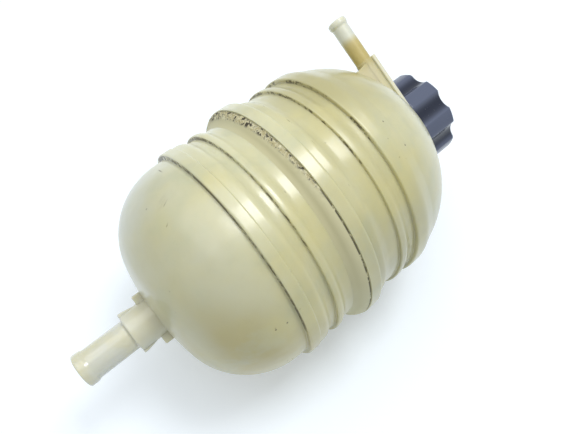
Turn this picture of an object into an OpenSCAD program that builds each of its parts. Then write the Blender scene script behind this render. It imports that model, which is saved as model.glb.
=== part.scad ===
// Coolant expansion tank: two moulded halves welded at a flange round the middle,
// a hose spigot at the bottom, a vent spigot beside the filler neck, and a screw
// cap that carries a pressure valve and a vacuum valve.
// Millimetres. Z runs along the tank's axis towards the cap, X along the vent
// spigot, and the origin is on the axis at the plane of the weld.

/* [Tank wall] */
// Wall thickness of both halves
wall = 3; // [2:0.1:4]
// Radius of the lower half between its guide rings
lower_r = 72; // [66:0.5:80]
// How much wider the upper half is between its guide rings
upper_step = 1.4; // [0:0.1:3]

/* [Lower dome] */
// Depth below the weld at which the lower dome starts
lower_dome_z = 48; // [46:0.5:70]
// Knuckle radius of the lower dome
lower_knuckle_r = 49.3; // [38:0.1:56]
// Crown radius of the lower dome
lower_crown_r = 160; // [110:1:220]

/* [Upper dome] */
// How much wider than the upper half's wall the upper dome starts
upper_dome_step = 1.4; // [0.5:0.1:3]
// Height above the weld at which the upper dome starts
upper_dome_z = 41; // [40.5:0.5:46]
// Distance of the knuckle arc's centre from the tank's axis
upper_knuckle_in = 8.4; // [7:0.1:12]
// How much lower the upper dome is than a half sphere
upper_dome_flat = 5.7; // [4.5:0.1:6.8]

/* [Guide rings] */
// Depth of the lowest ring's lower edge below the weld
ring_a_z = 43.5; // [41:0.5:45]
// Width of the lowest ring
ring_a_w = 7; // [5:0.5:9]
// How far the lowest ring stands out from the lower half
ring_a_proud = 3.3; // [3:0.1:6]
// Width of the small step above the lowest ring
step_a_w = 6; // [3:0.5:7]
// How far that small step stands out
step_a_proud = 2.6; // [0.5:0.1:2.9]
// Depth of the second ring's lower edge below the weld
ring_b_z = 21.9; // [20:0.1:25]
// Width of the second ring
ring_b_w = 3.5; // [3:0.5:7]
// How far the second ring stands out from the lower half
ring_b_proud = 2.5; // [1:0.1:5]
// Height of the third ring's lower edge above the weld
ring_d_z = 28.7; // [27:0.1:31]
// Width of the third ring
ring_d_w = 4; // [3:0.5:5]
// How far the third ring stands out from the upper half
ring_d_proud = 2; // [0.5:0.1:3]
// Height of the top ring's lower edge above the weld
ring_e_z = 41.9; // [41.5:0.1:44]
// Width of the top ring
ring_e_w = 8.5; // [5:0.5:10]
// How far the top ring stands out from the upper half
ring_e_proud = 2.7; // [2:0.1:4]
// Length of the slope that eases the top ring into the dome
ring_e_ease = 9; // [4:0.5:12]
// Length of the slope that eases each other ring into the wall
ring_ease = 4; // [2:0.5:5]

/* [Weld flange] */
// How far the upper half's weld flange stands out from its wall
flange_proud = 5.6; // [4:0.1:9]
// Thickness of the upper half's weld flange
flange_t = 8.4; // [6:0.1:11]
// How far the lower half's weld flange stands out from its wall
lower_flange_proud = 4.6; // [3.5:0.1:5.4]
// Thickness of the lower half's weld flange
lower_flange_t = 3.6; // [2:0.1:5]
// How far the step above the weld flange stands out from the wall
shoulder_proud = 2.2; // [1.5:0.1:4]
// Width of the step above the weld flange
shoulder_w = 6.5; // [3:0.1:8]
// How far the bead of plastic squeezed out of the weld ends inside the flange's edge
weld_bead_in = 0.8; // [0.2:0.1:1.5]
// Thickness of that bead
weld_bead_t = 1.2; // [0.6:0.1:1.8]

/* [Outlet spigot] */
// Outer radius of the outlet spigot
outlet_r = 9.5; // [8:0.1:10]
// Radius of the outlet bore
outlet_bore_r = 7; // [5:0.1:7.4]
// Length of the outlet spigot below the dome
outlet_len = 49; // [36:0.5:65]
// Radius of the bead at the outlet's tip
outlet_bead_r = 10.3; // [10.1:0.1:10.8]
// Length of the flat land on that bead
outlet_bead_w = 4; // [3:0.1:6]
// Length of the taper behind that bead
outlet_bead_taper = 2; // [1:0.1:3]
// Radius of the thick root of the outlet
root_r = 12.3; // [11.6:0.1:12.8]
// Length of the thick root below the dome
root_len = 16.4; // [12.4:0.1:20.4]
// Distance across the two catches at the end of the thick root
catch_span = 27; // [26:0.5:30]
// Width of a catch
catch_w = 7; // [4:0.5:10]
// Thickness of a catch
catch_t = 2.4; // [1.5:0.1:4]
// Distance across the two locating lugs
lug_span = 34; // [29:0.5:40]
// Width of a locating lug
lug_w = 9; // [6:0.5:12]
// How far the lugs reach below the dome
lug_len = 4.4; // [2.4:0.1:7.4]

/* [Vent spigot] */
// Outer radius of the vent spigot
vent_r = 5.5; // [5:0.1:6]
// Radius of the vent bore
vent_bore_r = 3.5; // [2.5:0.1:3.8]
// Distance of the vent's axis from the tank's axis
vent_y = 29.5; // [28:0.1:31]
// Depth of the vent's axis below the top of the crown
vent_drop = 13.5; // [12.1:0.1:15.1]
// Distance of the vent's tip from the tank's axis
vent_tip_x = 82.2; // [70:0.1:90]
// Radius of the bead at the vent's tip
vent_bead_r = 6.3; // [6.1:0.1:7]
// Length of the flat land on that bead
vent_bead_w = 2.6; // [2:0.1:4]
// Length of the taper behind that bead
vent_bead_taper = 1.4; // [0.8:0.1:2]
// Distance of the vent boss's end face from the tank's axis
boss_end_x = 50.5; // [46:0.5:56]
// Radius of the duct that carries the vent spigot
duct_r = 5.8; // [5.7:0.1:6.3]
// Width of the web between the duct and the dome
web_w = 10.6; // [5:0.1:11]
// How far the web's foot draws back from the boss's end face
web_slant = 3; // [1:0.5:8]
// Height over which it draws back
web_slant_h = 10; // [8:0.5:18]
// Thickness of the flat plate on top of the vent boss
deck_t = 2.4; // [1.6:0.1:4]
// How far the top plate overhangs the duct on each side
deck_over = 0.6; // [0.3:0.1:1.6]
// Where the top plate dies into the crown
deck_start_x = -4; // [-12:0.5:0]

/* [Filler neck] */
// Outer radius of the neck at the root of its thread
neck_r = 24; // [23.6:0.1:24.2]
// Bore of the neck
neck_bore_r = 20; // [19.8:0.1:20.6]
// Height of the neck's rim above the top of the crown
neck_h = 13.9; // [12.9:0.1:16.9]
// How far the neck reaches into the tank below its rim
neck_depth = 25; // [22:0.5:30]

/* [Cap] */
// Thickness of the cap's skirt behind a flute
flute_wall = 2.3; // [1.5:0.1:4]
// Depth of the flutes between the lobes
flute_depth = 3.8; // [2:0.1:4]
// Radius of a flute
flute_r = 11; // [8:0.5:14]
// Number of grip lobes
lobe_count = 8; // [6:1:12]
// Angle of the first lobe from the vent spigot
lobe_turn = 22; // [0:1:44]
// Height of the cap
cap_h = 26; // [24:0.1:28]
// Thickness of the cap's top
cap_top_t = 3.2; // [2:0.1:4]
// Chamfer of the cap's top edge
cap_edge = 1.6; // [1:0.1:3]
// Distance of the cap's lower edge from the neck's rim
cap_overlap = 16.8; // [15:0.1:17]

/* [Pressure valve] */
// Thickness of the rim gasket
gasket_t = 2; // [1.5:0.1:2.4]
// Thickness of the valve body's flange
insert_flange_t = 2.6; // [2:0.1:3]
// How far the valve body's plug reaches below the neck's rim
plug_depth = 20; // [18:0.5:21]
// Radius of the spring chamber in the plug
chamber_r = 15; // [14.4:0.1:15.6]
// Thickness of the plug's floor
floor_t = 2; // [1.6:0.1:2.6]
// Radius of the hole in the plug's floor
seat_bore_r = 9; // [8.4:0.1:9.6]
// Height of the raised seat on the floor
seat_h = 1; // [0.6:0.1:1.2]
// Thickness of the pressure seal
seal_t = 1.8; // [1.2:0.1:2.2]
// Thickness of the pressure plate
plate_t = 2; // [1.6:0.1:2.4]
// Thickness of the spring retainer
retainer_t = 1.6; // [1.2:0.1:2]
// Wire diameter of the pressure spring
pressure_wire_d = 1.4; // [1:0.1:1.6]
// Mean radius of the pressure spring
pressure_coil_r = 10.6; // [10:0.1:11.2]
// Turns of the pressure spring
pressure_turns = 4.5; // [3.5:0.5:5]
// Section diameter of the plug's O ring
o_ring_d = 2.6; // [2.2:0.1:2.8]

/* [Vacuum valve] */
// Radius of the vacuum valve's head
vacuum_head_r = 6.6; // [6:0.1:7]
// Thickness of the vacuum valve's head
vacuum_head_t = 1.6; // [1.2:0.1:1.8]
// Radius of the vacuum valve's stem
vacuum_stem_r = 1.6; // [1.2:0.1:1.8]
// Height of the stem above the pressure plate
vacuum_stem_h = 5.4; // [5:0.1:6]
// Wire diameter of the vacuum spring
vacuum_wire_d = 0.5; // [0.4:0.1:0.6]
// Mean radius of the vacuum spring
vacuum_coil_r = 2.7; // [2.6:0.1:3]
// Turns of the vacuum spring
vacuum_turns = 4; // [3:0.5:5]

/* [Hidden] */
$fn = 96;

// Gaps that are worked into more than one piece
skin = 0.05;
run_gap = 0.4;
seat_gap = 0.3;
turn_gap = 0.4;
neck_gap = 1.1;
o_ring_squeeze = 0.2;

// Small sizes that stay as they are
deck_cover = 0.2;
ring_sink = 0.5;
web_foot_h = 10;
web_start_x = 6;
insert_flange_over = 0.9;
retainer_sink = 1.2;
retainer_step = 1.2;
retainer_gap = 0.1;
seat_w = 1.2;
seal_inside = 0.4;
seal_outside = 2;
o_ring_drop = 6;
snap_in = 0.5;
clip_t = 1;
clip_over = 1.1;
clip_play = 1.5;
stem_above_clip = 0.6;
window_h = 4;
window_w = 7;
window_deep = 2;
window_count = 4;
notch_r = 2;
notch_out = 0.6;
notch_count = 6;
port_r = 0.9;
port_out = 0.4;
gasket_over = 0.2;
cut = 1;

// Radii that follow from the sizes above
upper_r = lower_r + upper_step;
flange_r = upper_r + flange_proud;
lower_flange_r = lower_r + lower_flange_proud;
weld_bead_r = flange_r - weld_bead_in;
upper_dome_r = upper_r + upper_dome_step;
upper_knuckle_r = upper_dome_r - upper_knuckle_in;
crown_rise = upper_knuckle_in - upper_dome_flat;
crown_back = (pow(upper_knuckle_in, 2) - pow(crown_rise, 2)) / (2 * crown_rise);
upper_crown_r = upper_knuckle_r + crown_rise + crown_back;
crown_lean = atan2(upper_knuckle_in, crown_back);
knuckle_balls = 4;

// Heights that follow from the sizes above
lower_bottom_z = -lower_dome_z + crown_offset(lower_r, lower_knuckle_r, lower_crown_r)
                 - lower_crown_r;
outlet_tip_z = outlet_len - lower_bottom_z;
root_end_z = root_len - lower_bottom_z;
lug_end_z = lug_len - lower_bottom_z;
crown_centre_z = upper_dome_z - crown_back;
crown_top_z = crown_centre_z + upper_crown_r;
vent_z = crown_top_z - vent_drop;
neck_top_z = crown_top_z + neck_h;
deck_z = vent_z + duct_r + deck_cover;
cap_bottom_z = neck_top_z - cap_overlap;
cap_top_z = cap_bottom_z + cap_h;
flange_bottom_z = neck_top_z + gasket_t;
flange_top_z = flange_bottom_z + insert_flange_t;
plug_r = neck_bore_r - run_gap;
insert_flange_r = neck_r + insert_flange_over;
shell_bore_r = insert_flange_r + turn_gap;
cap_r = shell_bore_r + flute_wall + flute_depth;
plug_bottom_z = neck_top_z - plug_depth;
floor_top_z = plug_bottom_z + floor_t;
seat_z = floor_top_z + seat_h;
plate_z = seat_z + seal_t;
plate_top_z = plate_z + plate_t;
retainer_z = flange_top_z - retainer_t - retainer_sink;
plate_r = chamber_r - run_gap;
seal_in_r = seat_bore_r - seal_inside;
seal_out_r = seat_bore_r + seat_w + seal_outside;
o_ring_z = neck_top_z - o_ring_drop;
o_ring_r = neck_bore_r - o_ring_squeeze - o_ring_d / 2;
groove_r = o_ring_r - o_ring_d / 2 - skin;
clip_r = vacuum_coil_r + clip_over;
clip_z = plate_top_z + vacuum_stem_h - clip_t - stem_above_clip;
snap_in_r = neck_r + snap_in;
web_foot_z = vent_z - web_slant_h - web_foot_h;
ring_e_end_r = upper_dome_at(ring_e_z + ring_e_w + ring_e_ease) - ring_sink;

// Distance from where a dome starts back to the centre of its crown
function crown_offset(side_r, knuckle_r, crown_r) =
    sqrt(pow(crown_r - knuckle_r, 2) - pow(side_r - knuckle_r, 2));

// Half section of a dome that starts at height start_z and rises: a knuckle arc
// and a crown arc that meet in a common tangent
module dome_section(side_r, start_z, knuckle_r, crown_r)
{
    back = crown_offset(side_r, knuckle_r, crown_r);
    lean = atan2(side_r - knuckle_r, back);
    reach = 2 * crown_r;
    intersection() {
        translate([0, start_z]) square([side_r, crown_r]);
        union() {
            translate([side_r - knuckle_r, start_z]) circle(knuckle_r);
            intersection() {
                translate([0, start_z - back]) circle(crown_r);
                polygon([[0, start_z - back],
                         [reach * sin(lean), start_z - back + reach * cos(lean)],
                         [0, start_z - back + reach]]);
            }
        }
    }
}

// Radius of the upper dome's outside at height z
function upper_dome_at(z) =
    upper_knuckle_in + sqrt(pow(upper_knuckle_r, 2) - pow(z - upper_dome_z, 2));

// Half section of a ring round the tank: square below, eased above into a wall of
// radius end_r
module ring_section(body_r, end_r, low_z, width, proud, ease)
{
    root_r = min(body_r, end_r) - wall / 2;
    polygon([[root_r, low_z],
             [body_r + proud, low_z],
             [body_r + proud, low_z + width],
             [end_r, low_z + width + ease],
             [root_r, low_z + width + ease]]);
}

// Half section of the lower half, thinned all over by inset
module lower_section(inset)
{
    mirror([0, 1])
        dome_section(lower_r - inset, lower_dome_z, lower_knuckle_r - inset,
                     lower_crown_r - inset);
    translate([0, -lower_dome_z]) square([lower_r - inset, lower_dome_z]);
}

// Half section of the upper half, thinned all over by inset. Its knuckle is bounded by
// spheres round the tank's axis, each of them tangent to the knuckle arc
module upper_section(inset)
{
    intersection() {
        translate([0, upper_dome_z]) square([upper_dome_r - inset, upper_crown_r]);
        translate([0, crown_centre_z]) circle(upper_crown_r - inset);
        intersection_for(i = [1 : knuckle_balls]) {
            turn = crown_lean + i * (90 - crown_lean) / knuckle_balls;
            translate([0, upper_dome_z - upper_knuckle_in / tan(turn)])
                circle(upper_knuckle_r - inset + upper_knuckle_in / sin(turn));
        }
    }
    square([upper_r - inset, upper_dome_z]);
}

// Round bead on a hose spigot: a flat land behind a rounded tip, tapering back
module bead_section(tube_r, bead_r, tip, land, taper)
{
    edge = (bead_r - tube_r) * 0.9;
    polygon([[tube_r / 2, tip],
             [bead_r - edge, tip],
             [bead_r, tip - edge],
             [bead_r, tip - edge - land],
             [tube_r, tip - edge - land - taper],
             [tube_r / 2, tip - edge - land - taper]]);
}

// Outlet spigot below the lower dome, drawn from the dome's inner wall down
module outlet_section()
{
    top = -lower_bottom_z - wall;
    translate([0, -outlet_tip_z]) square([outlet_r, outlet_tip_z - top]);
    mirror([0, 1])
        bead_section(outlet_r, outlet_bead_r, outlet_tip_z, outlet_bead_w, outlet_bead_taper);
    translate([0, -root_end_z]) square([root_r, root_end_z - top]);
}

module lower_tank_half()
{
    color([0.84, 0.82, 0.68])
    difference() {
        union() {
            rotate_extrude() {
                lower_section(0);
                ring_section(lower_r, lower_r, -ring_a_z, ring_a_w, ring_a_proud, 1);
                ring_section(lower_r, lower_r, -ring_a_z + ring_a_w, step_a_w, step_a_proud,
                             ring_ease);
                ring_section(lower_r, lower_r, -ring_b_z, ring_b_w, ring_b_proud, ring_ease);
                translate([lower_r - wall / 2, -lower_flange_t])
                    square([lower_flange_proud + wall / 2, lower_flange_t]);
                translate([lower_r - wall / 2, -weld_bead_t])
                    square([weld_bead_r - lower_r + wall / 2, weld_bead_t]);
            }
            rotate_extrude() outlet_section();
            translate([-lug_span / 2, -lug_w / 2, -lug_end_z])
                cube([lug_span, lug_w, lug_end_z + lower_bottom_z + wall]);
            translate([-catch_span / 2, -catch_w / 2, -root_end_z])
                cube([catch_span, catch_w, catch_t]);
        }
        rotate_extrude() lower_section(wall);
        translate([0, 0, -outlet_tip_z - cut])
            cylinder(r = outlet_bore_r, h = outlet_tip_z);
    }
}

// Boss that carries the vent spigot over the shoulder of the dome, before the
// hollow of the tank is taken out: a duct, a web down to the dome and a flat plate
module vent_boss()
{
    deck_w = 2 * (duct_r + deck_over);
    translate([0, vent_y, vent_z])
        rotate([0, 90, 0]) cylinder(r = duct_r, h = boss_end_x);
    translate([0, vent_y + web_w / 2, 0])
        rotate([90, 0, 0])
            linear_extrude(web_w)
                polygon([[web_start_x, web_foot_z],
                         [boss_end_x - web_slant, web_foot_z],
                         [boss_end_x - web_slant, vent_z - web_slant_h],
                         [boss_end_x, vent_z],
                         [web_start_x, vent_z]]);
    translate([deck_start_x, vent_y - deck_w / 2, deck_z - deck_t])
        cube([boss_end_x + deck_over - deck_start_x, deck_w, deck_t]);
}

module vent_spigot()
{
    translate([0, vent_y, vent_z])
        rotate([0, 90, 0])
            rotate_extrude() {
                square([vent_r, vent_tip_x - vent_bead_w]);
                bead_section(vent_r, vent_bead_r, vent_tip_x, vent_bead_w, vent_bead_taper);
            }
}

// Half section of the upper half's moulded shell
module upper_shell_section()
{
    difference() {
        union() {
            upper_section(0);
            translate([upper_r - wall / 2, 0])
                square([flange_proud + wall / 2, flange_t]);
            ring_section(upper_r, upper_r, flange_t, shoulder_w, shoulder_proud, ring_ease);
            ring_section(upper_r, upper_r, ring_d_z, ring_d_w, ring_d_proud, ring_ease);
            ring_section(upper_r, ring_e_end_r, ring_e_z, ring_e_w, ring_e_proud, ring_e_ease);
        }
        upper_section(wall);
        translate([0, -cut]) square([upper_r - wall, 2 * cut]);
    }
}

module upper_tank_half()
{
    color([0.86, 0.84, 0.68])
    difference() {
        union() {
            rotate_extrude() upper_shell_section();
            difference() {
                union() {
                    vent_boss();
                    vent_spigot();
                }
                translate([0, 0, crown_centre_z]) sphere(upper_crown_r - wall / 2);
            }
            translate([0, 0, neck_top_z - neck_depth]) cylinder(r = neck_r, h = neck_depth);
        }
        translate([0, 0, upper_dome_z]) cylinder(r = neck_bore_r, h = neck_top_z);
        translate([0, vent_y, vent_z])
            rotate([0, 90, 0]) cylinder(r = vent_bore_r, h = vent_tip_x + cut);
    }
}

// Plan of the cap: a disc with a flute cut between each pair of lobes
module lobed_plan()
{
    flute_at = cap_r - flute_depth + flute_r;
    difference() {
        circle(cap_r);
        for (i = [0 : lobe_count - 1])
            rotate(lobe_turn + (i + 0.5) * 360 / lobe_count)
                translate([flute_at, 0]) circle(flute_r);
    }
}

module cap_shell()
{
    roof_z = cap_top_z - cap_top_t;
    color([0.27, 0.28, 0.36])
    difference() {
        intersection() {
            translate([0, 0, cap_bottom_z]) linear_extrude(cap_h + cut) lobed_plan();
            rotate_extrude()
                polygon([[0, cap_bottom_z - cut],
                         [cap_r + cut, cap_bottom_z - cut],
                         [cap_r + cut, cap_top_z - cap_edge - cut],
                         [cap_r - cap_edge, cap_top_z],
                         [0, cap_top_z]]);
        }
        translate([0, 0, cap_bottom_z - cut])
            cylinder(r = neck_r + neck_gap, h = cap_overlap + cut);
        translate([0, 0, neck_top_z - cut]) cylinder(r = snap_in_r, h = roof_z - neck_top_z + cut);
        translate([0, 0, flange_bottom_z - seat_gap])
            cylinder(r = shell_bore_r, h = roof_z - flange_bottom_z + seat_gap);
    }
}

module valve_body()
{
    color([0.20, 0.20, 0.22])
    difference() {
        union() {
            translate([0, 0, flange_bottom_z]) cylinder(r = insert_flange_r, h = insert_flange_t);
            translate([0, 0, plug_bottom_z])
                cylinder(r = plug_r, h = flange_bottom_z - plug_bottom_z + skin);
        }
        difference() {
            translate([0, 0, floor_top_z]) cylinder(r = chamber_r, h = cap_h);
            translate([0, 0, floor_top_z - skin]) cylinder(r = seat_bore_r + seat_w, h = seat_h + skin);
        }
        translate([0, 0, plug_bottom_z - cut])
            cylinder(r = seat_bore_r, h = floor_t + seat_h + 2 * cut);
        translate([0, 0, retainer_z]) cylinder(r = chamber_r + retainer_step, h = cap_h);
        translate([0, 0, o_ring_z - o_ring_d / 2 - skin])
            difference() {
                cylinder(r = plug_r + cut, h = o_ring_d + 2 * skin);
                translate([0, 0, -cut]) cylinder(r = groove_r, h = o_ring_d + 2 * cut);
            }
        for (i = [0 : window_count - 1])
            rotate((i + 0.5) * 360 / window_count)
                translate([chamber_r - window_deep, -window_w / 2, plate_z])
                    cube([plug_r, window_w, window_h]);
    }
}

module rim_gasket()
{
    color([0.12, 0.12, 0.12])
    translate([0, 0, neck_top_z])
        difference() {
            cylinder(r = neck_r + gasket_over, h = gasket_t);
            translate([0, 0, -cut]) cylinder(r = plug_r + seat_gap, h = gasket_t + 2 * cut);
        }
}

module plug_o_ring()
{
    color([0.10, 0.10, 0.10])
    translate([0, 0, o_ring_z])
        rotate_extrude() translate([o_ring_r, 0]) circle(o_ring_d / 2);
}

module pressure_plate()
{
    color([0.75, 0.68, 0.45])
    difference() {
        translate([0, 0, plate_z]) cylinder(r = plate_r, h = plate_t);
        translate([0, 0, plate_z - cut])
            cylinder(r = vacuum_stem_r + seat_gap, h = plate_t + 2 * cut);
        for (i = [0 : notch_count - 1]) {
            rotate(i * 360 / notch_count)
                translate([plate_r + notch_out, 0, plate_z - cut])
                    cylinder(r = notch_r, h = plate_t + 2 * cut);
            rotate((i + 0.5) * 360 / notch_count)
                translate([(vacuum_stem_r + vacuum_head_r) / 2 + port_out, 0, plate_z - cut])
                    cylinder(r = port_r, h = plate_t + 2 * cut);
        }
    }
}

module pressure_seal()
{
    color([0.12, 0.12, 0.12])
    translate([0, 0, seat_z])
        difference() {
            cylinder(r = seal_out_r, h = seal_t);
            translate([0, 0, -cut]) cylinder(r = seal_in_r, h = seal_t + 2 * cut);
        }
}

// Round wire wound from low_z to high_z, with a closed first and last turn
module coil_spring(low_z, high_z, coil_r, wire_d, turns, steps, sides)
{
    count = round(turns * steps);
    closed = 1.02 * wire_d;
    open_h = high_z - low_z - wire_d - 2 * closed;
    points = [for (k = [0 : count], s = [0 : sides - 1])
        let (t = k * turns / count, spin = 360 * s / sides,
             climb = closed * (min(t, 1) + max(0, t - turns + 1))
                     + open_h * min(1, max(0, (t - 1) / (turns - 2))),
             r = coil_r + wire_d / 2 * cos(spin))
        [r * cos(360 * t), r * sin(360 * t),
         low_z + wire_d / 2 + climb + wire_d / 2 * sin(spin)]];
    skin_faces = [for (k = [0 : count - 1], s = [0 : sides - 1])
        let (n = (s + 1) % sides)
        [k * sides + s, k * sides + n, (k + 1) * sides + n, (k + 1) * sides + s]];
    first = [for (s = [sides - 1 : -1 : 0]) s];
    last = [for (s = [0 : sides - 1]) count * sides + s];
    polyhedron(points, concat([first], skin_faces, [last]));
}

module pressure_spring()
{
    color([0.72, 0.74, 0.76])
    coil_spring(plate_top_z + skin, retainer_z - skin, pressure_coil_r, pressure_wire_d,
                pressure_turns, 20, 8);
}

module spring_retainer()
{
    color([0.20, 0.20, 0.22])
    translate([0, 0, retainer_z])
        difference() {
            cylinder(r = chamber_r + retainer_step - retainer_gap, h = retainer_t);
            translate([0, 0, -cut]) cylinder(r = clip_r + clip_play, h = retainer_t + 2 * cut);
        }
}

module vacuum_valve()
{
    color([0.75, 0.68, 0.45])
    translate([0, 0, plate_z - vacuum_head_t - skin]) {
        cylinder(r = vacuum_head_r, h = vacuum_head_t);
        cylinder(r = vacuum_stem_r, h = vacuum_head_t + skin + plate_t + vacuum_stem_h);
    }
}

module vacuum_spring()
{
    color([0.72, 0.74, 0.76])
    coil_spring(plate_top_z + skin, clip_z - skin, vacuum_coil_r, vacuum_wire_d,
                vacuum_turns, 16, 6);
}

module vacuum_clip()
{
    color([0.72, 0.74, 0.76])
    translate([0, 0, clip_z])
        difference() {
            cylinder(r = clip_r, h = clip_t);
            translate([0, 0, -cut]) cylinder(r = vacuum_stem_r, h = clip_t + 2 * cut);
        }
}

lower_tank_half();
upper_tank_half();
cap_shell();
valve_body();
rim_gasket();
plug_o_ring();
pressure_plate();
pressure_seal();
pressure_spring();
spring_retainer();
vacuum_valve();
vacuum_spring();
vacuum_clip();
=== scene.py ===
import math

import bpy
import numpy as np
from bpy.props import FloatProperty, FloatVectorProperty, IntProperty, PointerProperty
from mathutils import Matrix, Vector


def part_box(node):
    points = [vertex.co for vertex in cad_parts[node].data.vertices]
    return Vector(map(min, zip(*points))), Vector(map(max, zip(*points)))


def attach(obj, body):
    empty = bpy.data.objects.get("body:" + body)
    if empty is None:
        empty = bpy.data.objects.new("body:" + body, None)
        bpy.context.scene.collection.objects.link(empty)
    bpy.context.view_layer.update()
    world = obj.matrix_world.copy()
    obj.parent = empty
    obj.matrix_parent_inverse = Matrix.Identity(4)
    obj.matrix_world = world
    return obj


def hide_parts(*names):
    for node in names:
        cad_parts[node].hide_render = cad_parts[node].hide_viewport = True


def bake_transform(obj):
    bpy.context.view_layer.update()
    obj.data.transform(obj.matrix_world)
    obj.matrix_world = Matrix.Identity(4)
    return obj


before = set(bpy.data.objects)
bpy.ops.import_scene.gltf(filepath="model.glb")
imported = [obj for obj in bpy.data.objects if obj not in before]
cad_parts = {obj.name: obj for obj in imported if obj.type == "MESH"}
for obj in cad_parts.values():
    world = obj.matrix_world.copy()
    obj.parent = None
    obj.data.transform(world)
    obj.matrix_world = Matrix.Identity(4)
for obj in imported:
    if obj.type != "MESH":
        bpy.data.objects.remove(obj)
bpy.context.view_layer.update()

bl_info = {
    "name": "Coolant expansion tank",
    "version": (1, 0, 0),
    "blender": (4, 2, 0),
    "location": "View3D > Sidebar > Coolant Tank",
    "description": "Builds the visible surfaces of a coolant expansion tank over its CAD frame",
    "category": "Object",
}

MM = 0.001
TAU = 2 * math.pi

# Sizes repeated from the part's source, in millimetres. First the walls and the lower dome
WALL = 3.0
LOWER_R = 72.0
UPPER_R = 73.4
LOWER_DOME_Z = 48.0
LOWER_KNUCKLE_R = 49.3
LOWER_CROWN_R = 160.0

# Upper dome: where it starts, how far in its knuckle is centred, and how flat it is
UPPER_DOME_R = 74.8
UPPER_DOME_Z = 41.0
UPPER_KNUCKLE_IN = 8.4
UPPER_DOME_FLAT = 5.7

# Guide rings: distance of the lower edge from the weld, width and height. The step above
# ring A has the last two, and the slopes ease a ring into the wall or the dome
RING_A = (43.5, 7.0, 3.3)
RING_B = (21.9, 3.5, 2.5)
RING_D = (28.7, 4.0, 2.0)
RING_E = (41.9, 8.5, 2.7)
STEP_A = (6.0, 2.6)
RING_EASE = 4.0
RING_E_EASE = 9.0

# Weld flange of each half, the shoulder above it and the bead squeezed out of the weld
FLANGE_R = 79.0
FLANGE_T = 8.4
LOWER_FLANGE_R = 76.6
LOWER_FLANGE_T = 3.6
SHOULDER_R = 75.6
SHOULDER_W = 6.5
WELD_R = 78.2
WELD_T = 1.2

# Outlet spigot, its bead as (radius, width, taper), and its thick root, catches and lugs
OUTLET_R = 9.5
OUTLET_BORE_R = 7.0
OUTLET_LEN = 49.0
OUTLET_BEAD = (10.3, 4.0, 2.0)
ROOT_R = 12.3
ROOT_LEN = 16.4
CATCH_SPAN = 27.0
CATCH_W = 7.0
CATCH_T = 2.4
LUG_SPAN = 34.0
LUG_W = 9.0
LUG_LEN = 4.4

# Vent spigot with its bead, duct, boss, web and the plate over it
VENT_R = 5.5
VENT_BORE_R = 3.5
VENT_Y = 29.5
VENT_Z = 96.6
VENT_TIP_X = 82.2
VENT_BEAD = (6.3, 2.6, 1.4)
BOSS_END_X = 50.5
DUCT_R = 5.8
WEB_W = 10.6
WEB_SLANT = 3.0
WEB_SLANT_H = 10.0
DECK_T = 2.4
DECK_OVER = 0.6
DECK_START_X = -4.0
DECK_Z = 102.6

# Share of a spigot bead's height that its front edge is cut back by
BEAD_EDGE = 0.9

# Filler neck
NECK_R = 24.0
NECK_BORE_R = 20.0
NECK_TOP_Z = 124.0
NECK_DEPTH = 25.0

# Screw cap: its outside and its stepped inside
CAP_R = 31.4
FLUTE_DEPTH = 3.8
FLUTE_R = 11.0
LOBES = 8
LOBE_TURN = 22.0
CAP_BOTTOM_Z = 107.2
CAP_H = 26.0
CAP_TOP_T = 3.2
CAP_EDGE = 1.6
CAP_BORE_R = 25.1
SNAP_R = 24.5
SHELL_BORE_R = 25.3
SNAP_LOW_Z = 123.0
SNAP_HIGH_Z = 125.7

# Springs: radius of the coil, diameter of the wire and number of turns, and the gap
# between a spring and what it rests on
PRESSURE_COIL = (10.6, 1.4, 4.5)
VACUUM_COIL = (2.7, 0.5, 4.0)
SKIN = 0.05

# Sizes that follow from them, as in the part's source
LOWER_SIDE = LOWER_R - LOWER_KNUCKLE_R
LOWER_BACK = math.sqrt((LOWER_CROWN_R - LOWER_KNUCKLE_R) ** 2 - LOWER_SIDE ** 2)
LOWER_BOTTOM = LOWER_DOME_Z - LOWER_BACK + LOWER_CROWN_R
OUTLET_TIP_Z = LOWER_BOTTOM + OUTLET_LEN
ROOT_END_Z = LOWER_BOTTOM + ROOT_LEN
LUG_END_Z = LOWER_BOTTOM + LUG_LEN
UPPER_KNUCKLE_R = UPPER_DOME_R - UPPER_KNUCKLE_IN
CROWN_RISE = UPPER_KNUCKLE_IN - UPPER_DOME_FLAT
CROWN_BACK = (UPPER_KNUCKLE_IN ** 2 - CROWN_RISE ** 2) / (2 * CROWN_RISE)
UPPER_CROWN_R = UPPER_KNUCKLE_R + CROWN_RISE + CROWN_BACK

# Sizes that only the scene has, in millimetres. First how far the slope between ring A
# and the step above it reaches up and down from their edge
STEP_SLOPE = (0.3, 0.2)
# Fillets at the outlet's root and the neck: how far outside the wall the dome's surface
# ends, and how much higher the fillet's corner is
ROOT_FILLET = (1.5, 0.3)
NECK_FILLET = (1.6, 0.7)
# Heights where the neck's sunk end meets the inner crown, and of points on the inner walls
NECK_FOOT_Z = 103.2
INNER_REST_Z = -24.0
INNER_EDGE = 0.3
# Where the lugs end inside the dome, the rounding of their edges, how deep a catch's ramp
# ends in the root, and its length in catch thicknesses
LUG_TOP_Z = -98.0
LUG_EDGE = 0.8
CATCH_SINK = 0.3
CATCH_RAMP = 4
# Vent: where its duct and web start in the dome, how deep the web reaches below its
# slant, the rounding of the plate's edges, and the steps round the spigot
DUCT_START_X = 15.0
WEB_START_X = 20.0
WEB_SINK = 6.0
DECK_EDGE = 0.45
VENT_STEPS = 72
# Cap: how much shallower its flutes are than the solid's, the hub where its sections
# end, and the shallow dish in its top as (distance in from the rim, depth)
FLUTE_FILL = 0.4
HUB_R = 1.0
CAP_DISH = ((7.0, 0.0), (9.5, 0.35), (16.0, 0.35))
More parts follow.
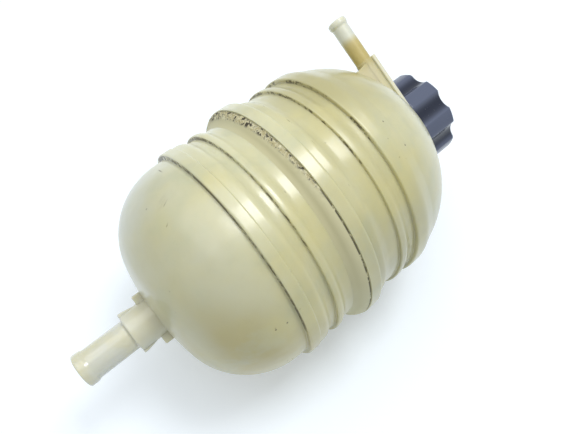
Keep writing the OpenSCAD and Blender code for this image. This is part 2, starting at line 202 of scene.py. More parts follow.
# Threads: lead, how deep the root is sunk, and for each thread its low end, its high end
# and its width at the root and at the tip
THREAD_LEAD = 6.0
THREAD_SINK = 0.15
NECK_THREAD = (109.5, 122.0, 2.4, 1.2)
CAP_THREAD = (108.8, 121.0, 2.0, 1.0)
CAP_THREAD_START = 1.25 * math.pi
# Melted bead: its front as (radius, height, cut), its back as (radius, height), and the
# largest radius that its lumps may reach
FLASH_FRONT = (
    (77.4, -0.03), (78.5, -0.25, 0.3), (78.5, -1.0, 0.3), (77.6, -3.0, 0.7),
    (75.9, -4.7, 0.8), (73.4, -6.2, 0.9), (71.9, -8.2),
)
FLASH_BACK = ((71.0, -7.0), (71.8, -0.6))
FLASH_MOST_R = 78.8

# Dirt in the corners under the rings: height and half width in millimetres, the noise
# level where it starts and where it is full, and the X in metres where it sets in
DIRT_LINES = (
    (-RING_A[0] - 0.05, 0.28, 0.38, 0.52, -0.050),
    (-RING_B[0] - 0.05, 0.26, 0.44, 0.56, -0.012),
    (-RING_A[0] + RING_A[1] - 0.1, 0.20, 0.58, 0.66, -0.030),
    (RING_D[0] - 0.05, 0.28, 0.48, 0.56, 0.004),
    (RING_E[0] - 0.05, 0.32, 0.52, 0.56, 0.010),
    (FLANGE_T + SHOULDER_W, 0.26, 0.54, 0.64, -0.004),
)

# Scrapes on the lower half: place and direction, half length and half width in
# millimetres, and strength
SCRAPES = (
    ((63.6, 33.3, -52.0), (-0.45, 0.85, 0.0), 4.5, 0.60, 0.90),
    ((45.8, 52.4, -63.5), (-0.35, 0.15, -0.9), 6.5, 0.55, 0.70),
    ((36.5, 56.5, -69.0), (-0.45, 0.15, -0.9), 5.0, 0.55, 0.80),
    ((47.5, 50.0, -63.0), (-0.30, 0.30, -0.8), 6.5, 3.20, 0.20),
    ((15.5, 70.3, -13.9), (-0.90, 0.20, 0.1), 1.6, 0.60, 1.00),
    ((56.4, 44.8, -31.5), (-0.60, 0.75, -0.2), 5.0, 0.50, 0.80),
)

# Stage, in metres. The table touches the tank's side, and the lamps aim at the origin
TABLE_NORMAL = (0.457, 0.889, 0.0)
TABLE_DEPTH = 0.0792
TABLE_REACH = 6.0
ROOM_COLOUR = (0.96, 0.98, 1.0, 1.0)
# Lamps: place, width, height and the setting that holds the power
LAMPS = {
    "window": ((0.44, 0.93, 0.36), 0.38, 0.32, "window_power"),
    "daylight": ((0.75, 0.85, -0.10), 1.0, 1.0, "daylight_power"),
}
# Camera: lens and sensor width in millimetres, its place, and its top and back directions
LENS = 30.71
SENSOR_W = 36.0
CAMERA_AT = (0.02468, 0.30473, -0.09756)
CAMERA_TOP = (0.807212, 0.120685, 0.577792)
CAMERA_BACK = (0.082770, 0.946060, -0.313241)


def rgb(red, green, blue):
    """The linear colour of an ordinary 0 to 255 screen colour."""
    c = np.array([red, green, blue]) / 255
    return tuple(np.where(c <= 0.04045, c / 12.92, ((c + 0.055) / 1.055) ** 2.4))


class TankShape(bpy.types.PropertyGroup):
    """Sizes of the tank's visible surfaces."""

    turn_steps: IntProperty(
        name="Steps round the tank", default=256, min=96, max=384,
        description="How many steps a round surface is divided into",
    )
    edge_round: FloatProperty(
        name="Ring edge rounding", default=0.0014, min=0.0002, max=0.0018, unit="LENGTH",
        description="Rounding of the lower edges of all guide rings but the lowest",
    )
    flash_rough: FloatProperty(
        name="Weld flash roughness", default=0.0006, min=0.0, max=0.001, unit="LENGTH",
        description="How far the bead of plastic squeezed out of the weld wanders in and out",
    )
    thread_height: FloatProperty(
        name="Thread height", default=0.0008, min=0.0004, max=0.0009, unit="LENGTH",
        description="How far the threads stand out from the neck and from the cap's bore",
    )


class TankColours(bpy.types.PropertyGroup):
    """Colours of the tank and its cap."""

    plastic: FloatVectorProperty(
        name="Tank plastic", subtype="COLOR", size=3, default=rgb(210, 209, 175),
        description="Aged translucent plastic where it is cleanest",
    )
    aged: FloatVectorProperty(
        name="Aged plastic", subtype="COLOR", size=3, default=rgb(186, 177, 112),
        description="The same plastic where age has browned it most",
    )
    stain: FloatVectorProperty(
        name="Coolant stain", subtype="COLOR", size=3, default=rgb(196, 176, 104),
        description="Amber stain that old coolant leaves inside the vent spigot",
    )
    dirt: FloatVectorProperty(
        name="Dirt", subtype="COLOR", size=3, default=rgb(66, 54, 34),
        description="Brown-black dirt in the corners and on the scrapes",
    )
    cap: FloatVectorProperty(
        name="Cap plastic", subtype="COLOR", size=3, default=rgb(36, 42, 58),
        description="Slate blue plastic of the screw cap",
    )


class TankStage(bpy.types.PropertyGroup):
    """Light of the picture."""

    window_power: FloatProperty(
        name="Window light", default=4.8, min=0.0, max=30.0, unit="POWER",
        description="Power of the small lamp that the plastic mirrors",
    )
    daylight_power: FloatProperty(
        name="Daylight", default=5.2, min=0.0, max=60.0, unit="POWER",
        description="Power of the large soft lamp",
    )
    fill: FloatProperty(
        name="Room light", default=0.50, min=0.0, max=2.0,
        description="Strength of the even light from all round",
    )


def math_method(operation, clamp=False):
    """A method that adds a Math node to the socket's tree and returns its result."""
    def method(self, *others):
        settings = {"operation": operation, "use_clamp": clamp}
        return self.tree.node("ShaderNodeMath", settings, (self, *others))
    return method


class Socket:
    """A shader socket that can be written as a number in a sum: each operator adds the
    Math node that does the same. high is the larger of two, root the square root, and
    clamp keeps a value between 0 and 1."""

    def __init__(self, tree, out):
        self.tree = tree
        self.out = out

    __add__ = __radd__ = math_method("ADD")
    __sub__ = math_method("SUBTRACT")
    __mul__ = __rmul__ = math_method("MULTIPLY")
    __abs__ = math_method("ABSOLUTE")
    high = math_method("MAXIMUM")
    sine = math_method("SINE")
    root = math_method("SQRT")
    plus_clamped = math_method("ADD", True)

    def __rsub__(self, other):
        return self.tree.node("ShaderNodeMath", {"operation": "SUBTRACT"}, (other, self))

    def clamp(self):
        return self.plus_clamped(0.0)

    def step(self, start, end):
        """Smooth from 0 at start to 1 at end, and level beyond them; end may be the lower."""
        return self.tree.node(
            "ShaderNodeMapRange", {"interpolation_type": "SMOOTHSTEP"},
            {"Value": self, "From Min": start, "From Max": end},
        )

    def near(self, centre, reach):
        """1 at centre, falling to 0 at reach on both sides."""
        return 1.0 - abs(self - centre).step(0.0, reach)


class Finish:
    """One procedural material on Object coordinates, in metres."""

    def __init__(self, name):
        self.material = bpy.data.materials.new(name)
        self.material.use_nodes = True
        self.nodes = self.material.node_tree.nodes
        self.links = self.material.node_tree.links
        self.nodes.clear()
        self.place = self.node("ShaderNodeTexCoord", {}, (), "Object")
        split = self.add("ShaderNodeSeparateXYZ", {}, [self.place])
        self.x, self.y, self.z = (Socket(self, out) for out in split.outputs)

    def _set(self, socket, value):
        """Links a socket, or sets its value; a plain colour is given its alpha."""
        if isinstance(value, Socket):
            self.links.new(value.out, socket)
        elif isinstance(value, tuple) and len(value) < len(socket.default_value):
            socket.default_value = (*value, 1.0)
        else:
            socket.default_value = value

    def add(self, kind, settings, values):
        """Adds a node, makes its settings, then sets or links its inputs."""
        made = self.nodes.new(kind)
        for key, value in settings.items():
            setattr(made, key, value)
        pairs = values.items() if isinstance(values, dict) else enumerate(values)
        for key, value in pairs:
            self._set(made.inputs[key], value)
        return made

    def node(self, kind, settings, values, output=0):
        """The output of a node that it adds."""
        return Socket(self, self.add(kind, settings, values).outputs[output])

    def stretched(self, scale):
        """The place on the piece, scaled along each axis."""
        return self.node("ShaderNodeMapping", {}, {"Vector": self.place, "Scale": scale})

    def noise(self, scale, detail, rough=0.55, vector=None):
        """Soft noise between 0 and 1, with scale spots to the metre."""
        return self.node(
            "ShaderNodeTexNoise", {},
            {"Vector": vector or self.place, "Scale": scale, "Detail": detail, "Roughness": rough},
        )

    def specks(self, scale):
        """Distance to the nearest point of a random scatter."""
        return self.node("ShaderNodeTexVoronoi", {}, {"Vector": self.place, "Scale": scale})

    def streak(self, place, way, half_length, half_width):
        """1 along a short line through a place in millimetres, fading out all round."""
        way = np.array(way) / np.linalg.norm(way)
        off = [axis - at * MM for axis, at in zip((self.x, self.y, self.z), place)]
        along = off[0] * way[0] + off[1] * way[1] + off[2] * way[2]
        square = off[0] * off[0] + off[1] * off[1] + off[2] * off[2]
        aside = (square - along * along).high(0.0).root()
        return along.near(0.0, half_length * MM) * aside.near(0.0, half_width * MM)

    def mix(self, amount, first, second):
        """The first colour, with an amount of the second mixed in."""
        return self.node(
            "ShaderNodeMix", {"data_type": "RGBA"}, {0: amount, 6: first, 7: second}, 2
        )

    def tinted(self, colour, tints):
        """The colour with each of the tints laid over it in turn, as (amount, colour)."""
        for amount, tint in tints:
            colour = self.mix(amount, colour, tint)
        return colour

    def bump(self, height, distance, strength):
        return self.node(
            "ShaderNodeBump", {}, {"Height": height, "Distance": distance, "Strength": strength}
        )

    def surface(self, **values):
        """The Principled shader, with sockets named in lower case with underscores."""
        named = {
            key.replace("_", " ").title().replace("Ior", "IOR"): value
            for key, value in values.items()
        }
        shader = self.node("ShaderNodeBsdfPrincipled", {}, named)
        self.add("ShaderNodeOutputMaterial", {}, {"Surface": shader})
        return self.material


def rounded(corners, steps=5):
    """Polyline through corners of (x, y, cut). Each inner corner is cut back by its cut, or
    by most of its shorter side, and bridged by the quadratic curve whose control point is
    the corner. A support point beyond each end of the curve keeps the flats flat."""
    most_of_side = 0.42
    beyond = 1.15
    p = np.array([corner[:2] for corner in corners], float)
    cut = np.array([corner[2] for corner in corners[1:-1]], float)[:, None]
    before, corner, after = p[:-2], p[1:-1], p[2:]
    back = before - corner
    on = after - corner
    back_len = np.linalg.norm(back, axis=1, keepdims=True)
    on_len = np.linalg.norm(on, axis=1, keepdims=True)
    cut = np.minimum(cut, most_of_side * np.minimum(back_len, on_len))
    back = back / back_len * cut
    on = on / on_len * cut
    t = np.linspace(0, 1, steps)[None, :, None]
    curve = (1 - t) ** 2 * (corner + back)[:, None] + 2 * t * (1 - t) * corner[:, None]
    curve = curve + t ** 2 * (corner + on)[:, None]
    first = (corner + back * beyond)[:, None]
    last = (corner + on * beyond)[:, None]
    inner = np.concatenate([first, curve, last], axis=1).reshape(-1, 2)
    return np.vstack([p[:1], inner, p[-1:]])


def arc(centre, radius, start, end, steps):
    """Points on a circle, by angle from the vertical in degrees, as (radius, height)."""
    turn = np.radians(np.linspace(start, end, steps))
    return np.stack([centre[0] + radius * np.sin(turn), centre[1] + radius * np.cos(turn)], 1)


def without_doubles(line):
    """The same polyline without points that repeat the one before."""
    keep = np.r_[True, np.linalg.norm(np.diff(line, axis=0), axis=1) > 1e-4]
    return line[keep]


def on_grid(x, y, z):
    """Points row by row from three arrays, each stretched to the shape of all."""
    return np.stack(np.broadcast_arrays(x, y, z), -1).reshape(-1, 3)


def round_axis(radius, turn, height):
    """Points at a radius and an angle round the Z axis, and at a height."""
    return on_grid(radius * np.cos(turn), radius * np.sin(turn), height)


def grid_faces(rows, columns, closed_rows=False):
    """Quads of a grid whose points run row by row. Each row closes on itself, and the last
    row may close on the first."""
    i = np.arange(rows if closed_rows else rows - 1)[:, None]
    j = np.arange(columns)[None, :]
    i2 = (i + 1) % rows
    j2 = (j + 1) % columns
    return np.stack(
        [i * columns + j, i * columns + j2, i2 * columns + j2, i2 * columns + j], -1
    ).reshape(-1, 4)


def capped_tube(rows, columns, turned_round=False):
    """Quads of a tube whose rings of points run row by row, and the two flat caps that
    close its ends, all of them turned round if asked."""
    ring = np.arange(columns)
    faces = grid_faces(rows, columns)
    caps = [ring[::-1], ring + (rows - 1) * columns]
    if turned_round:
        return faces[:, ::-1], [cap[::-1] for cap in caps]
    return faces, caps


def ring_shape(radius, turn, height):
    """A ring round the Z axis, closed both ways, from rows of radius and height at the
    angles of turn. Its faces look outward, by the sign of its volume."""
    points = round_axis(radius, turn, height)
    faces = grid_faces(len(turn), height.shape[-1], True)
    a, b, c, d = (points[faces[:, k]] for k in range(4))
    volume = (np.cross(a, b) * c).sum() + (np.cross(a, c) * d).sum()
    return points, faces if volume > 0 else faces[:, ::-1], ()


def turned(profile, steps):
    """A closed profile of (radius, height) carried round the Z axis."""
    turn = np.arange(steps)[:, None] * TAU / steps
    return ring_shape(profile[None, :, 0], turn, profile[None, :, 1])


def pulled_box(low, high, radius):
    """A box with round edges: a sphere of that radius whose eight octants are pulled
    apart to the box's corners. It stops short of the sphere's poles, at the tip angle,
    and its top and bottom are closed by flat caps."""
    steps = 6
    tip = 1.5
    low, high = np.array([low, high], float)
    core = (high - low) / 2 - radius
    centre = (high + low) / 2
    quarter = np.linspace(0, math.pi / 2, steps)
    turn = np.concatenate([quarter + k * math.pi / 2 for k in range(4)])
    east = np.repeat([1, -1, -1, 1], steps)
    north = np.repeat([1, 1, -1, -1], steps)
    rise = np.concatenate([np.linspace(-tip, 0, steps), np.linspace(0, tip, steps)])[:, None]
    top = np.repeat([-1, 1], steps)[:, None]
    points = on_grid(
        centre[0] + east * core[0] + radius * np.cos(rise) * np.cos(turn),
        centre[1] + north * core[1] + radius * np.cos(rise) * np.sin(turn),
        centre[2] + (top * core[2] + radius * np.sin(rise)),
    )
    return points, *capped_tube(len(rise), len(turn))


def slab(outline, centre_y, width):
    """A flat piece cut to an outline of (x, z), its edges eased, across its width in Y."""
    edge = 0.4
    outline = without_doubles(outline)
    away = outline - outline.mean(0)
    away = away / np.linalg.norm(away, axis=1, keepdims=True)
    inset = np.array([edge, 0, 0, edge])[:, None, None]
    across = np.array([-width / 2, edge - width / 2, width / 2 - edge, width / 2])
    ring = outline[None] - inset * away[None]
    points = on_grid(ring[..., 0], centre_y + across[:, None], ring[..., 1])
    return points, *capped_tube(len(across), len(outline), True)


def new_piece(name, shape, finish="aged_tank_plastic", body="tank", sharp=35.0):
    """Makes a mesh from a shape: points in millimetres, quads, and caps as further
    many-sided faces. Gives it its finish, and lets it ride on its body, where it has one."""
    points, quads, caps = shape
    mesh = bpy.data.meshes.new(name)
    flat = np.concatenate([quads.reshape(-1), *caps]).astype(np.int32)
    sizes = np.r_[np.full(len(quads), 4), [len(cap) for cap in caps]].astype(np.int32)
    mesh.vertices.add(len(points))
    mesh.vertices.foreach_set("co", (points * MM).astype(np.float32).ravel())
    mesh.loops.add(len(flat))
    mesh.loops.foreach_set("vertex_index", flat)
    mesh.polygons.add(len(sizes))
    mesh.polygons.foreach_set("loop_start", np.r_[0, np.cumsum(sizes)[:-1]].astype(np.int32))
    mesh.update(calc_edges=True)
    mesh.validate()
    mesh.materials.append(finish_named(finish))
    mesh.shade_smooth()
    mesh.set_sharp_from_angle(angle=math.radians(sharp))
    piece = bpy.data.objects.new(name, mesh)
    bpy.context.scene.collection.objects.link(piece)
    if body:
        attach(piece, body)
    return piece


def lower_rings():
    """Outside of the lower half from the weld down over its rings to the dome."""
    cut = bpy.context.scene.tank_shape.edge_round / MM
    z_a, w_a, out_a = RING_A
    w_s, out_s = STEP_A
    z_b, w_b, out_b = RING_B
    up, down = STEP_SLOPE
    return rounded([
        (LOWER_R - WALL / 2, 0), (WELD_R, 0, 0.3), (WELD_R, -WELD_T, 0.4),
        (LOWER_FLANGE_R, -WELD_T, 0.3), (LOWER_FLANGE_R, -LOWER_FLANGE_T, 0.5),
        (LOWER_R, -LOWER_FLANGE_T, 0.6), (LOWER_R, -z_b + w_b + RING_EASE, 2.5),
        (LOWER_R + out_b, -z_b + w_b, 1.6), (LOWER_R + out_b, -z_b, cut),
        (LOWER_R, -z_b, 0.5), (LOWER_R, -z_a + w_a + w_s + RING_EASE, 2.5),
        (LOWER_R + out_s, -z_a + w_a + w_s, 1.8), (LOWER_R + out_s, -z_a + w_a + up, 0.6),
        (LOWER_R + out_a, -z_a + w_a - down, 1.5), (LOWER_R + out_a, -z_a, 1.2),
        (LOWER_R, -z_a, 0.6), (LOWER_R, -LOWER_DOME_Z),
    ])


def spigot_end(tube_r, bore_r, bead, tip, cuts, way=1):
    """Corners of a spigot's end, from its tube over its bead to its bore. The first cut is
    for the bead's taper, the second for its front edge."""
    bead_r, width, taper = bead
    edge = (bead_r - tube_r) * BEAD_EDGE
    end = tip - edge
    return [
        (tube_r, way * (end - width - taper), cuts[0]),
        (bead_r, way * (end - width), cuts[0]),
        (bead_r, way * end, cuts[1]),
        (bead_r - edge, way * tip, cuts[1]),
        (bore_r, way * tip, 0.4),
    ]


def dome(knuckle_at, knuckle_r, crown_r, back, start, foot_r, mouth_r, steps):
    """Outside and inside of a dome: the knuckle's arc runs into the crown's, which is
    centred on the axis, back below the knuckle's centre. The outside runs from the start
    angle to foot_r, and the inside from mouth_r back to the wall."""
    crown_at = (0, knuckle_at[1] - back)
    lean = math.degrees(math.atan2(knuckle_at[0], back))
    foot = math.degrees(math.asin(foot_r / crown_r))
    mouth = math.degrees(math.asin(mouth_r / (crown_r - WALL)))
    knuckle = arc(knuckle_at, knuckle_r, start, lean, 26)
    crown = arc(crown_at, crown_r, lean, foot, steps)[1:]
    inner_crown = arc(crown_at, crown_r - WALL, mouth, lean, steps)
    inner_knuckle = arc(knuckle_at, knuckle_r - WALL, lean, 90, 20)[1:]
    return np.vstack([knuckle, crown]), np.vstack([inner_crown, inner_knuckle])


def outlet_section(crown_end):
    """Outside of the outlet from the dome to its tip, and back up its bore."""
    return rounded([
        tuple(crown_end),
        (ROOT_R, crown_end[1] + ROOT_FILLET[1], 1.4),
        (ROOT_R, -ROOT_END_Z, 1.5), (OUTLET_R, -ROOT_END_Z, 2.4),
        *spigot_end(OUTLET_R, OUTLET_BORE_R, OUTLET_BEAD, OUTLET_TIP_Z, (0.8, 0.5), -1),
        (OUTLET_BORE_R, crown_end[1] + WALL),
    ])


def lower_profile():
    """Half section of the lower half: outside from the weld down to the outlet's tip,
    then back up its bore and the inner wall."""
    outside, inside = dome(
        (LOWER_SIDE, LOWER_DOME_Z), LOWER_KNUCKLE_R, LOWER_CROWN_R, LOWER_BACK, 90,
        ROOT_R + ROOT_FILLET[0], OUTLET_BORE_R, 10,
    )
    down = np.array([1, -1])
    outside = outside[1:] * down
    inner = [(LOWER_R - WALL, height) for height in (INNER_REST_Z, -INNER_EDGE, 0)]
    return without_doubles(np.vstack([
        lower_rings(), outside, outlet_section(outside[-1])[1:], inside * down, inner,
    ]))


def upper_rings(knuckle):
    """Outside of the upper half from the weld up over its flange and rings to the start
    of the dome's knuckle."""
    cut = bpy.context.scene.tank_shape.edge_round / MM
    z_d, w_d, out_d = RING_D
    z_e, w_e, out_e = RING_E
    return rounded([
        (UPPER_R - WALL, 0), (FLANGE_R, 0, 0.5), (FLANGE_R, FLANGE_T, 1.5),
        (SHOULDER_R, FLANGE_T, 0.8), (SHOULDER_R, FLANGE_T + SHOULDER_W, 1.5),
        (UPPER_R, FLANGE_T + SHOULDER_W + RING_EASE, 2.0), (UPPER_R, z_d, 0.5),
        (UPPER_R + out_d, z_d, cut), (UPPER_R + out_d, z_d + w_d, 1.5),
        (UPPER_R, z_d + w_d + RING_EASE, 2.0), (UPPER_R, z_e, 0.5),
        (UPPER_R + out_e, z_e, cut), (UPPER_R + out_e, z_e + w_e, 2.5),
        (*knuckle[0], 1.5), tuple(knuckle[1]),
    ])


def neck_section(crown_end):
    """Outside of the filler neck from the dome to its rim, and down its bore."""
    low = NECK_TOP_Z - NECK_DEPTH
    return rounded([
        tuple(crown_end),
        (NECK_R, crown_end[1] + NECK_FILLET[1], 1.5), (NECK_R, NECK_TOP_Z, 0.5),
        (NECK_BORE_R, NECK_TOP_Z, 0.6), (NECK_BORE_R, low, 0.4),
        (NECK_R, low, 0.4), (NECK_R, NECK_FOOT_Z),
    ])


def upper_profile():
    """Half section of the upper half: outside from the weld up to the neck's rim, then
    down the neck's bore and the inner wall."""
    slope_end = RING_E[0] + RING_E[1] + RING_E_EASE
    start = math.degrees(math.acos((slope_end - UPPER_DOME_Z) / UPPER_KNUCKLE_R))
    outside, inside = dome(
        (UPPER_KNUCKLE_IN, UPPER_DOME_Z), UPPER_KNUCKLE_R, UPPER_CROWN_R, CROWN_BACK, start,
        NECK_R + NECK_FILLET[0], NECK_R, 14,
    )
    inner = [(UPPER_R - WALL, height) for height in (UPPER_DOME_Z, INNER_EDGE)]
    return without_doubles(np.vstack([
        upper_rings(outside), outside[2:], neck_section(outside[-1])[1:], inside, inner,
    ]))


def vent_profile():
    """Half section of the duct and the spigot, as (radius, distance along the vent)."""
    return without_doubles(rounded([
        (VENT_BORE_R, DUCT_START_X), (DUCT_R, DUCT_START_X, 0.3),
        (DUCT_R, BOSS_END_X, 0.5), (VENT_R, BOSS_END_X, 0.3),
        *spigot_end(VENT_R, VENT_BORE_R, VENT_BEAD, VENT_TIP_X, (0.6, 0.4)),
        (VENT_BORE_R, DUCT_START_X + 0.1),
    ]))


def aged_colour_and_painted_shade(f, mottle, fine):
    """The tank's colour from place to place: cream, browner towards the side away from
    the vent, greyer low down, and pale on the outlet. Painted shade darkens the upper half
    on the vent's side and on the far side, and the bottom of the lower dome is darker and
    browner, partly painted shade."""
    colours = bpy.context.scene.tank_colours
    across = f.x * 0.58 + f.y * 0.15 + f.z * 0.30
    browner = (0.42 - across * 7.5 + (mottle - 0.5) * 1.1).clamp()
    greyer = f.z.step(-0.030, -0.075) * (0.92 - browner * 1.02).clamp()
    # darker and browner at the bottom of the lower dome: partly painted shade, partly a browner
    # tone
    underside = (f.x * 0.50 + f.z * 0.50).step(-0.036, -0.058) * f.z.step(-0.092, -0.080)
    # painted shade: darker over the upper half on the vent's side
    shaded = f.z.step(0.002, 0.042) * f.x.step(0.005, 0.050)
    # painted shade: darker over the upper half on the side away from the vent
    painted_shade_far_side = f.x.step(-0.010, -0.055) * f.z.step(-0.004, 0.010)
    cloudy = f.noise(34.0, 4.0, 0.6).step(0.48, 0.66)
    patches = f.noise(26.0, 3.0, 0.5).step(0.45, 0.66)
    outlet_end = f.z.step(-0.104, -0.120) * f.noise(60.0, 2.0, 0.5).step(0.3, 0.6)
    return f.tinted(tuple(colours.plastic), (
        (browner, tuple(colours.aged)),
        (greyer, rgb(188, 192, 180)),
        (underside * 0.60, rgb(176, 160, 84)),
        (shaded * 0.75, rgb(170, 163, 112)),
        (painted_shade_far_side * 0.30, rgb(150, 150, 132)),
        (cloudy * 0.42, rgb(184, 188, 160)),
        (patches * (0.2 + f.z.step(-0.080, -0.045) * 0.35), rgb(206, 199, 144)),
        (f.z.step(-0.094, -0.102), rgb(212, 210, 185)),
        (outlet_end * 0.8, rgb(211, 213, 202)),
        ((fine - 0.5).clamp() * 0.35, rgb(178, 170, 130)),
    ))


def vent_colour(f, colour, mottle):
    """The colour round the vent: half clear at the spigot's tip, amber where old coolant
    stood, and paler on the boss, the web and the plate, which takes back part of the painted
    shade there; the plate's pale stripe is partly a painted highlight."""
    aside = abs(f.y - VENT_Y * MM)
    above = f.z - VENT_Z * MM
    in_spigot = 1.0 - (aside * aside + above * above).root().step(0.0066, 0.0074)
    tip = in_spigot * f.x.step(0.060, 0.070)
    wave = f.x + (mottle - 0.5) * 0.010
    stained = in_spigot * wave.step(0.043, 0.054) * (1.0 - wave.step(0.064, 0.070))
    # paler boss, web and plate: they lift the painted shade there, and on the plate are partly a
    # painted highlight
    in_line = 1.0 - aside.step(0.0066, 0.0076)
    boss = in_line * f.x.step(0.030, 0.040) * f.z.step(0.084, 0.088)
    boss = boss * (1.0 - f.x.step(0.050, 0.052))
    web = in_line * f.z.step(0.078, 0.086) * (1.0 - f.z.step(0.098, 0.100))
    web = web * (1.0 - f.x.step(0.044, 0.050))
    plate = in_line * f.z.step(0.0990, 0.1002) * (1.0 - f.x.step(0.0515, 0.0525))
    return f.tinted(colour, (
        (tip * 0.85, rgb(222, 224, 210)),
        (stained * 0.72, tuple(bpy.context.scene.tank_colours.stain)),
        (boss * 0.4, rgb(196, 186, 142)),
        (web * 0.55, rgb(216, 207, 172)),
        (plate * 0.75, rgb(226, 223, 202)),
    ))


def tank_dirt(f):
    """How dirty the tank is from 0 to 1: ragged lines in the corners under the rings,
    small black specks, and scrapes."""
    ragged = f.noise(240.0, 3.0, 0.7, f.stretched((1.0, 1.0, 0.25)))
    level = ragged * 0.66 + f.noise(55.0, 2.0, 0.6) * 0.34
    radius = (f.x * f.x + f.y * f.y).root()
    dots = 1.0 - f.specks(150.0).step(0.05, 0.11)
    dots = dots * f.noise(31.0, 1.0).step(0.60, 0.66) * radius.step(0.020, 0.030)
    dirt = None
    for edge_z, reach, least, most, end_x in DIRT_LINES:
        line = f.z.near(edge_z * MM, reach * MM) * level.step(least, most)
        line = line * f.x.step(end_x - 0.008, end_x + 0.004)
        dirt = line if dirt is None else dirt.high(line)
    dirt = (dirt + dots * 0.8).clamp()
    for place, way, half_length, half_width, strength in SCRAPES:
        scrape = f.streak(place, way, half_length, half_width)
        dirt = dirt.high(scrape * ragged.step(0.30, 0.60) * strength)
    return dirt


def plastic_finish(name):
    """Aged translucent plastic of the tank, clouded and dirty, a little wavy, and glossier
    at the outlet's tip."""
    f = Finish(name)
    mottle = f.noise(18.0, 3.0, 0.5)
    fine = f.noise(160.0, 4.0, 0.6)
    dented = f.noise(42.0, 2.0, 0.5)
    dirt = tank_dirt(f)
    colour = vent_colour(f, aged_colour_and_painted_shade(f, mottle, fine), mottle)
    colour = f.mix(dirt * 0.85, colour, tuple(bpy.context.scene.tank_colours.dirt))
    rough = 0.325 + dirt * 0.30 + (mottle - 0.5) * 0.10 - f.z.step(-0.1160, -0.1175) * 0.12
    height = mottle * 3.4 + dented * 6.0 + fine * 0.06
    return f.surface(
        base_color=colour, roughness=rough, normal=f.bump(height, 0.00025, 0.5), ior=1.49,
        subsurface_weight=0.45, subsurface_radius=(1.0, 0.9, 0.6), subsurface_scale=0.006,
        coat_weight=0.40, coat_roughness=0.16,
    )


def flash_finish(name):
    """The melted bead at the weld: the tank's plastic, burnt brown-black in patches."""
    f = Finish(name)
    grain = f.noise(900.0, 4.0, 0.7)
    lumps = f.noise(420.0, 3.0, 0.65)
    burnt = f.x.step(-0.002, 0.016) * (f.z + f.x * 0.045).step(-0.0024, -0.0010)
    clean = f.mix(f.noise(18.0, 3.0, 0.5), rgb(198, 190, 144), rgb(212, 210, 176))
    lumpy = f.mix(lumps.step(0.35, 0.60), rgb(176, 166, 122), rgb(224, 220, 184))
    patches = lumps.step(0.51, 0.55) * f.noise(120.0, 2.0, 0.6).step(0.36, 0.48) * burnt
    edge = f.z.near(-0.0007, 0.0008) * f.noise(200.0, 3.0, 0.7).step(0.38, 0.50)
    colour = f.tinted(clean, (
        (burnt, lumpy),
        (patches * 0.95, rgb(44, 36, 22)),
        (grain.step(0.60, 0.66) * burnt * 0.8, rgb(36, 30, 20)),
        (edge * (1.0 - burnt * 0.6), rgb(34, 26, 12)),
    ))
    return f.surface(
        base_color=colour, roughness=0.55 + patches * 0.2,
        normal=f.bump(grain * (burnt * 0.9 + 0.1), 0.0004, 0.7), ior=1.49,
    )


def cap_finish(name):
    """Slate blue moulded plastic, with painted light on the lobes: paler towards the cap's outer
    edge.
    """
    f = Finish(name)
    radius = (f.x * f.x + f.y * f.y).root()
    cloud = f.noise(70.0, 4.0, 0.6)
    dust = f.noise(700.0, 3.0, 0.7).step(0.62, 0.78)
    colour = f.tinted(tuple(bpy.context.scene.tank_colours.cap), (
        (cloud.step(0.3, 0.75) * 0.35, rgb(34, 38, 54)),
        # painted light: the lobes paler towards the cap's outer edge, as if lit
        (radius.step(0.0278, 0.0312) * 0.75, rgb(100, 108, 130)),
        (dust * 0.12, rgb(150, 150, 150)),
    ))
    return f.surface(
        base_color=colour, roughness=0.16 + cloud * 0.10 + dust * 0.15,
        normal=f.bump(f.noise(900.0, 2.0, 0.5), 0.0001, 0.35), ior=1.5,
    )


def nylon_finish(name):
    """Dark moulded nylon of the valve body, with a faint mould grain."""
    f = Finish(name)
    grain = f.noise(900.0, 2.0, 0.5)
    colour = f.mix(f.noise(140.0, 4.0, 0.6), rgb(44, 44, 48), rgb(58, 58, 62))
    return f.surface(
        base_color=colour, roughness=0.45 + grain * 0.15,
        normal=f.bump(grain, 0.0001, 0.4), ior=1.5,
    )


def rubber_finish(name):
    """Black rubber of the gasket, the O ring and the seal, with a dusty bloom."""
    f = Finish(name)
    bloom = f.noise(220.0, 4.0, 0.7).step(0.55, 0.8)
    colour = f.mix(bloom * 0.5, rgb(28, 28, 29), rgb(52, 51, 50))
    return f.surface(
        base_color=colour, roughness=0.62 + bloom * 0.15,
        normal=f.bump(f.noise(1200.0, 2.0, 0.5), 0.00008, 0.4), ior=1.52,
    )


def brass_finish(name):
    """Dulled brass of the plate and the vacuum valve, with turning marks."""
    f = Finish(name)
    radius = (f.x * f.x + f.y * f.y).root()
    rings = (radius * 22000.0).sine() * 0.5 + 0.5
    dull = f.noise(160.0, 4.0, 0.65).step(0.4, 0.7)
    colour = f.mix(dull * 0.6, rgb(206, 178, 112), rgb(146, 118, 70))
    return f.surface(
        base_color=colour, metallic=1.0, roughness=0.26 + dull * 0.22,
        normal=f.bump(rings, 0.00002, 0.5),
    )


def spring_finish(name):
    """Bright drawn spring wire with light staining."""
    f = Finish(name)
    stain = f.noise(260.0, 4.0, 0.7).step(0.5, 0.75)
    colour = f.mix(stain * 0.5, rgb(206, 208, 212), rgb(150, 140, 126))
    return f.surface(
        base_color=colour, metallic=1.0, roughness=0.24 + stain * 0.22,
        normal=f.bump(f.noise(1500.0, 2.0, 0.5), 0.00003, 0.4),
    )


def table_finish(name):
    """White table: it keeps the object's shadow and shows white to the camera."""
    f = Finish(name)
    path = f.add("ShaderNodeLightPath", {}, ())
    seen = Socket(f, path.outputs["Is Camera Ray"]).high(Socket(f, path.outputs["Is Glossy Ray"]))
    return f.surface(
        base_color=(0.74, 0.81, 0.88), roughness=0.9,
        emission_color=f.mix(seen, (0.0, 0.0, 0.0), (1.0, 1.0, 1.0)), emission_strength=0.27,
    )


